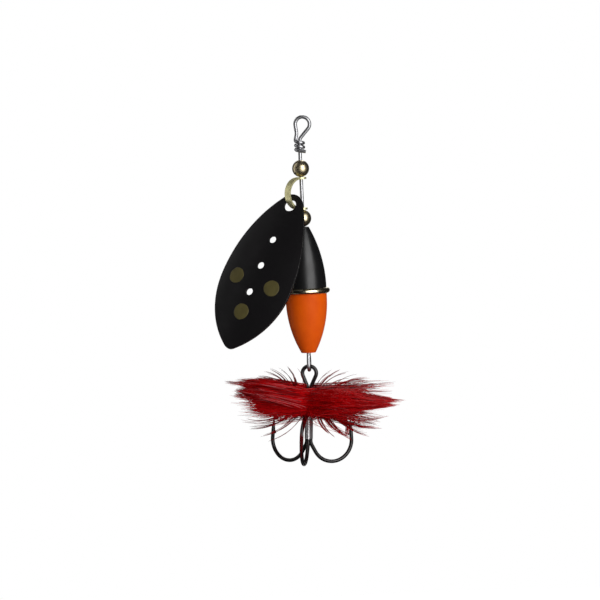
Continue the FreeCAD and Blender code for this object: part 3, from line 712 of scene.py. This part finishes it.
def shank_outline(angle):
    """Radius of the line drawn tight round three rods that stand 120 degrees apart: part of a
    circle over each rod and a straight side between two rods."""
    away = np.abs((angle - FIRST_SHANK + SHANK_PITCH / 2) % SHANK_PITCH - SHANK_PITCH / 2)
    over_rod = (SHANK_STAND_OFF * np.cos(away)
                + np.sqrt(np.maximum(SHANK_COVER ** 2 - (SHANK_STAND_OFF * np.sin(away)) ** 2, 0)))
    side = (SHANK_STAND_OFF / 2 + SHANK_COVER) / np.cos(SHANK_PITCH / 2 - away)
    return np.maximum(over_rod, np.where(away > math.radians(29), side, 0))


def wound_sleeve(name, top, bottom, radius_at, rows, columns):
    """A sleeve wound round the shanks. Its radius is a function of the angle and the share of
    the way down. Both ends close in to a fiftieth of it and are capped."""
    angle = np.linspace(0, 2 * math.pi, columns, endpoint=False)[None, :]
    share = np.linspace(0, 1, rows)[:, None]
    height = top + (bottom - top) * share + 0 * angle
    radius = radius_at(angle, share)
    radius = np.concatenate([radius[:1] * SLEEVE_END, radius, radius[-1:] * SLEEVE_END])
    height = np.concatenate([height[:1], height, height[-1:]])
    points = hung(np.stack([radius * np.cos(angle), radius * np.sin(angle), height], axis=2))
    piece = mesh_piece(name, points, grid_quads(rows + 2, columns, True)[:, ::-1],
                       end_caps(rows + 2, columns))
    across = np.broadcast_to(angle / (2 * math.pi), height.shape)
    set_uv(piece, across.ravel(), (height * 100).ravel())
    return piece


def make_tinsel():
    """Flat tinsel wound over the three shanks. Its radius is the line round the shanks plus a
    lap that grows evenly over each turn, so each turn lies a little over the last."""
    def radius(angle, share):
        lap = (share * TINSEL_TURNS + angle / (2 * math.pi)) % 1.0
        return shank_outline(angle) + TINSEL_LAP * lap

    piece = wound_sleeve("tinsel_sleeve", THREAD_END, TINSEL_END, radius, 260, 72)
    finish_on_treble(piece, "shank_wrap", "silver_tinsel")


def make_thread():
    """Round turns of thread, heaped up in the middle. Its radius is a core, plus a heap that
    is a half sine along the sleeve, plus a half sine round each turn."""

    def radius(angle, share):
        heap = THREAD_HEAP * np.sin(share * math.pi)
        turn = np.abs(np.sin(math.pi * (share * THREAD_TURNS + angle / (2 * math.pi))))
        return THREAD_CORE + heap + THREAD_ROUND * turn

    piece = wound_sleeve("thread_binding", THREAD_TOP, THREAD_END, radius, 200, 48)
    finish_on_treble(piece, "binding_thread", "red_thread")


# ------------------------------------------------------------------ spots on the blade

# The blade hangs from its hinge: turned to the left of the front, leaning back, rolled in its
# face. Its own frame is across it, up along it and out of its cupped face.
BLADE_AZIMUTH = math.radians(17.7)
BLADE_LEAN = math.radians(22.5)
BLADE_ROLL = math.radians(18.5)
BLADE_LENGTH = 39.77 * MM
BLADE_THICKNESS = 0.5 * MM
HOLE_DOWN = 2.95 * MM
HOLE_HANG = 0.35 * MM
CROSS_RADIUS = 34.0 * MM
LONG_RADIUS = 108.0 * MM

BLADE_PIVOT = joint_place("blade_tilt")
BLADE_LEVEL = np.array([-math.sin(BLADE_AZIMUTH), -math.cos(BLADE_AZIMUTH), 0.0])
UPRIGHT = np.array([0.0, 0.0, 1.0])
BLADE_OUT = BLADE_LEVEL * math.cos(BLADE_LEAN) + UPRIGHT * math.sin(BLADE_LEAN)
BLADE_STEEP = UPRIGHT * math.cos(BLADE_LEAN) - BLADE_LEVEL * math.sin(BLADE_LEAN)
BLADE_UP = (BLADE_STEEP * math.cos(BLADE_ROLL)
            - np.cross(BLADE_OUT, BLADE_STEEP) * math.sin(BLADE_ROLL))
BLADE_ACROSS = np.cross(BLADE_UP, BLADE_OUT)
BLADE_TOP = HOLE_DOWN - HOLE_HANG
HOLE_TO_CROWN = BLADE_LENGTH / 2 - HOLE_DOWN
CUP_CROWN = LONG_RADIUS - math.sqrt(LONG_RADIUS ** 2 - HOLE_TO_CROWN ** 2)
SPOT_RADIUS = 1.92 * MM
SPOT_FILM = 0.03 * MM
# the film's section from its middle over its rim to its underside: the share of its radius, and
# the share of its film above the blade's face
SECTION_OUT = (0.001, 0.3, 0.6, 0.85, 0.95, 0.985, 1.0, 0.97, 0.6, 0.001)
SECTION_LIFT = (1.0, 1.0, 1.0, 1.0, 0.95, 0.6, -0.4, -0.8, -0.8, -0.8)
SPOT_SIDES = 64
# across the blade and down from its top
SPOTS = [("spot_left", -5.05 * MM, 22.92 * MM), ("spot_right", 4.93 * MM, 23.22 * MM),
         ("spot_low", -0.09 * MM, 30.70 * MM)]


def blade_face(across, up):
    """Height of the cupped face: the outside of a ring whose own radius is the cross radius and
    which goes round at the long radius, so it is a circle of the cross radius swung round."""
    cross = CROSS_RADIUS + BLADE_THICKNESS / 2
    ridge = LONG_RADIUS - CROSS_RADIUS + np.sqrt(cross ** 2 - across ** 2)
    crown_up = BLADE_TOP - BLADE_LENGTH / 2
    return CUP_CROWN - LONG_RADIUS + np.sqrt(ridge ** 2 - (up - crown_up) ** 2)


def make_spot(name, across, down):
    """A round film of lacquer that follows the cup: it is proud in the middle, rounds over at
    its rim and closes just under the blade's surface."""
    angle = np.linspace(0, 2 * math.pi, SPOT_SIDES, endpoint=False)[None, :]
    share = np.array(SECTION_OUT)[:, None]
    lift = np.array(SECTION_LIFT)[:, None] * SPOT_FILM
    ragged = 1 + 0.012 * np.sin(3 * angle + across * 900) + 0.008 * np.sin(7 * angle)
    u = across + SPOT_RADIUS * share * ragged * np.cos(angle)
    v = BLADE_TOP - down + SPOT_RADIUS * share * ragged * np.sin(angle)
    w = blade_face(u, v) + lift
    points = (BLADE_PIVOT + u[..., None] * BLADE_ACROSS + v[..., None] * BLADE_UP
              + w[..., None] * BLADE_OUT)
    piece = mesh_piece(name, points, grid_quads(len(share), SPOT_SIDES, True)[:, ::-1],
                       end_caps(len(share), SPOT_SIDES))
    piece.data.materials.append(shaded_spot_finish)
    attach(piece, "blade")


# ------------------------------------------------------------------ stage and light

STAGE_CENTRE = Vector((0, 0, -40 * MM))
FLOOR_HEIGHT = -160 * MM
FLOOR_RADIUS = 0.42
FLOOR_SIDES = 96
CARD_DISTANCE = 0.11
CARD_ROWS = 12
CARD_COLUMNS = 24


def emission_for_seen_rays(tree, low, high):
    """low for rays that light things, high for camera, mirror and glass rays."""
    path = add(tree, "LightPath")
    seen = math_node(tree, "MAXIMUM", path.outputs["Is Camera Ray"], path.outputs["Is Glossy Ray"])
    seen = math_node(tree, "MAXIMUM", seen, path.outputs["Is Transmission Ray"])
    return spread(tree, seen, 0.0, 1.0, low, high)


def make_world():
    """White to the eye and in reflections, dim as a light."""
    world = bpy.data.worlds.new("studio")
    world.use_nodes = True
    tree = world.node_tree
    background = tree.nodes["Background"]
    background.inputs["Color"].default_value = (1, 1, 1, 1)
    tree.links.new(emission_for_seen_rays(tree, 0.11, 1.0), background.inputs["Strength"])
    scene.world = world


def make_floor():
    """A pale round floor well below the hook."""
    angle = np.linspace(0, 2 * math.pi, FLOOR_SIDES, endpoint=False)
    rim = np.stack([FLOOR_RADIUS * np.cos(angle), FLOOR_RADIUS * np.sin(angle),
                    np.full(FLOOR_SIDES, FLOOR_HEIGHT)], axis=1)
    mesh = bpy.data.meshes.new("floor")
    mesh.from_pydata(rim.tolist(), [], [list(range(FLOOR_SIDES))])
    floor = bpy.data.objects.new("floor", mesh)
    scene.collection.objects.link(floor)
    material, tree, shader = new_material("pale_floor")
    feed(tree, shader, Base_Color=(0.82, 0.82, 0.82, 1), Roughness=0.9,
         Emission_Color=(1, 1, 1, 1), Emission_Strength=emission_for_seen_rays(tree, 0.0, 0.5))
    mesh.materials.append(material)


def make_card(name, azimuths, elevations, material):
    """A dark card: a patch of a sphere round the lure between two azimuths and two elevations.
    It shows only in reflections."""
    a = np.radians(np.linspace(*azimuths, CARD_COLUMNS))[None, :]
    e = np.radians(np.linspace(*elevations, CARD_ROWS))[:, None]
    direction = np.stack([np.sin(a) * np.cos(e), -np.cos(a) * np.cos(e), np.sin(e) + 0 * a],
                         axis=2)
    points = np.array(STAGE_CENTRE) + CARD_DISTANCE * direction
    card = mesh_piece(name, points, grid_quads(CARD_ROWS, CARD_COLUMNS, False))
    card.data.materials.append(material)
    card.visible_camera = False
    card.visible_diffuse = False
    card.visible_transmission = False
    card.visible_shadow = False


# azimuths and elevations in degrees. What stays open: a window for the key lamp, a wide slit at
# the left, a thin one at the front left, and the back.
CARDS = [
    ("card_front", (-61, 9), (-90, 90)),
    ("card_front_left", (-84, -65), (-90, 90)),
    ("card_left", (-172, -104), (-90, 90)),
    ("card_right", (63, 172), (-90, 90)),
    ("card_above_key", (9, 63), (52, 90)),
    ("card_below_key", (9, 63), (-90, -24)),
    ("card_above_slit", (-104, -84), (62, 90)),
    ("card_below_slit", (-104, -84), (-90, -20)),
]


def make_cards():
    """All the dark cards, in one matt black."""
    material, tree, shader = new_material("dark_card")
    feed(tree, shader, Base_Color=(0.03, 0.03, 0.03, 1), Roughness=1.0)
    for name, azimuths, elevations in CARDS:
        make_card(name, azimuths, elevations, material)


def make_lamp(name, azimuth, elevation, distance, size, level):
    """A soft rectangular lamp that gives a facing white surface the level's share of full white."""
    data = bpy.data.lights.new(name, "AREA")
    data.shape = "RECTANGLE"
    data.size, data.size_y = size
    data.energy = level * math.pi ** 2 * distance ** 2
    lamp = bpy.data.objects.new(name, data)
    a, e = math.radians(azimuth), math.radians(elevation)
    direction = Vector((math.sin(a) * math.cos(e), -math.cos(a) * math.cos(e), math.sin(e)))
    lamp.location = STAGE_CENTRE + direction * distance
    lamp.rotation_euler = direction.to_track_quat("Z", "Y").to_euler()
    scene.collection.objects.link(lamp)


def make_lights():
    """A large key lamp at the front right, and a weaker one behind and above."""
    make_lamp("key", 39, 14, 1.0, (0.8, 1.1), 0.9)
    make_lamp("behind", 186, 40, 1.1, (0.9, 0.7), 0.45)


# ------------------------------------------------------------------ build

# The spots' dark olive is gold paint darkened with painted shade, to the tone the blade's shadow gives it.
shaded_spot_finish = lacquer("spot_lacquer_painted_shade", (0.12, 0.10, 0.033, 1), (0.075, 0.064, 0.022, 1), 0.35,
                      (0.4, 0.33, 0.12, 1), 0.2, 0.004 * MM, 0.3)

dress_cad_nodes()
for spot in SPOTS:
    make_spot(*spot)
make_tinsel()
make_thread()
make_hair()
make_world()
make_floor()
make_cards()
make_lights()
make_camera()
scene.view_settings.view_transform = "Standard"
